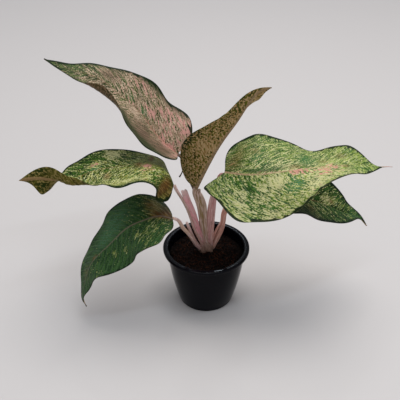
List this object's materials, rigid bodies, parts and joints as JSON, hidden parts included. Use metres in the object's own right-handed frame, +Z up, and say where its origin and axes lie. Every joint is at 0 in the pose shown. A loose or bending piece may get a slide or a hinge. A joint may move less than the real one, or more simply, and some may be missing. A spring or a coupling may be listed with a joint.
{
  "type": "potted chinese evergreen",
  "caption": "Small potted foliage plant with broad pointed variegated leaves on sheathed petioles, standing in a round tapered nursery pot filled with soil.",
  "frame": {"origin": "middle of the pot's flat underside, on the surface that the plant stands on", "axes": "+Z up along the pot's axis; +X toward the leaves on the plant's right as seen from its front; -Y toward the plant's front"},
  "size_m": [0.3817, 0.1336, 0.2841],
  "materials": {
    "pot": "gloss",
    "soil": "matte",
    "petiole": "satin",
    "leaf_back_left": "satin",
    "leaf_left": "satin",
    "leaf_front_left": "satin",
    "leaf_upright": "satin",
    "leaf_right": "satin",
    "leaf_lower_right": "satin"
  },
  "bodies": {
    "root": {"pot": "pot", "soil": "soil", "stem_and_petioles": "petiole", "leaf_back_left": "leaf_back_left", "leaf_left": "leaf_left", "leaf_front_left": "leaf_front_left", "leaf_upright": "leaf_upright", "leaf_right": "leaf_right", "leaf_lower_right": "leaf_lower_right"}
  },
  "joints": []
}
